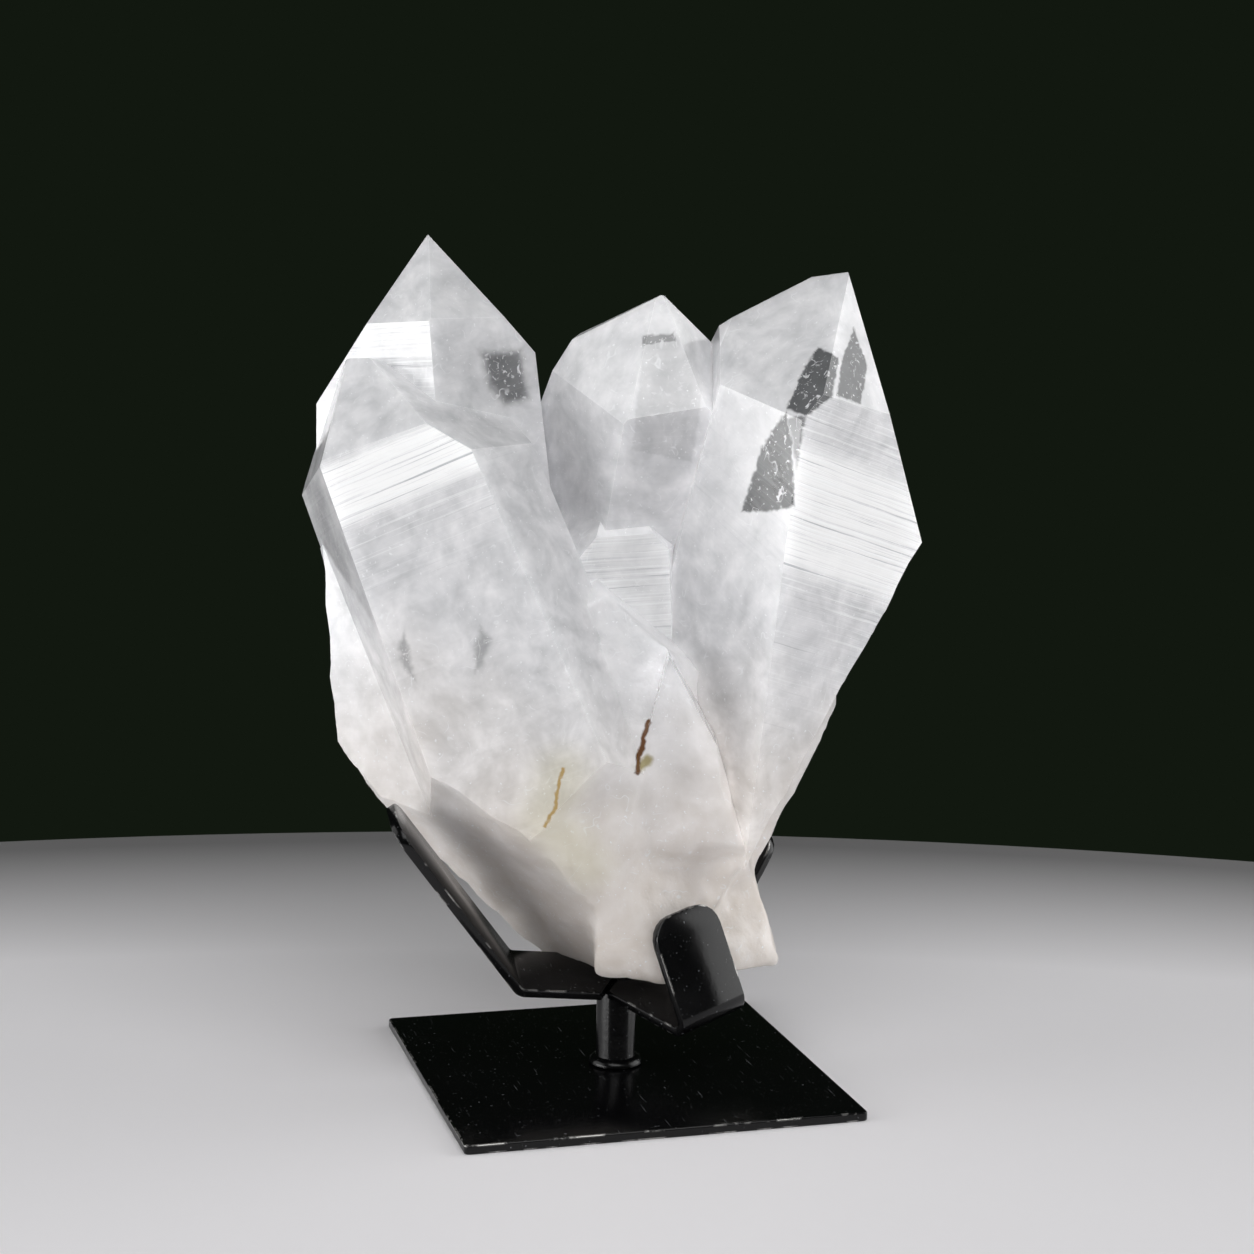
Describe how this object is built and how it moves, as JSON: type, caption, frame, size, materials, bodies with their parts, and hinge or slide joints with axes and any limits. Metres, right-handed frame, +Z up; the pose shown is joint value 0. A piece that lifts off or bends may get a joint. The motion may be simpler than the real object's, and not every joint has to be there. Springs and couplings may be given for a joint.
{
  "type": "lemurian quartz cluster on a display stand",
  "caption": "Cluster of grown-together milky to clear lemurian quartz crystals with a broken root, resting in a bent-strap cradle on a post over a square plate.",
  "frame": {"origin": "centre of the base plate's underside", "axes": "+Z up, along the post; X and Y along the square plate's sides, with the stone's front facing -Y turned a little towards -X"},
  "size_m": [0.193, 0.1513, 0.2689],
  "materials": {
    "quartz": "milky white with clear windows, glossy on grown faces, satin on broken ones, ochre iron stains in cracks",
    "black_steel": "semi-gloss black paint, scratched and specked, worn to bare steel on one strap edge"
  },
  "bodies": {
    "root": {"quartz_cluster": "quartz", "base_plate": "black_steel", "front_strap": "black_steel", "left_strap": "black_steel", "post": "black_steel", "rear_strap": "black_steel"}
  },
  "joints": []
}
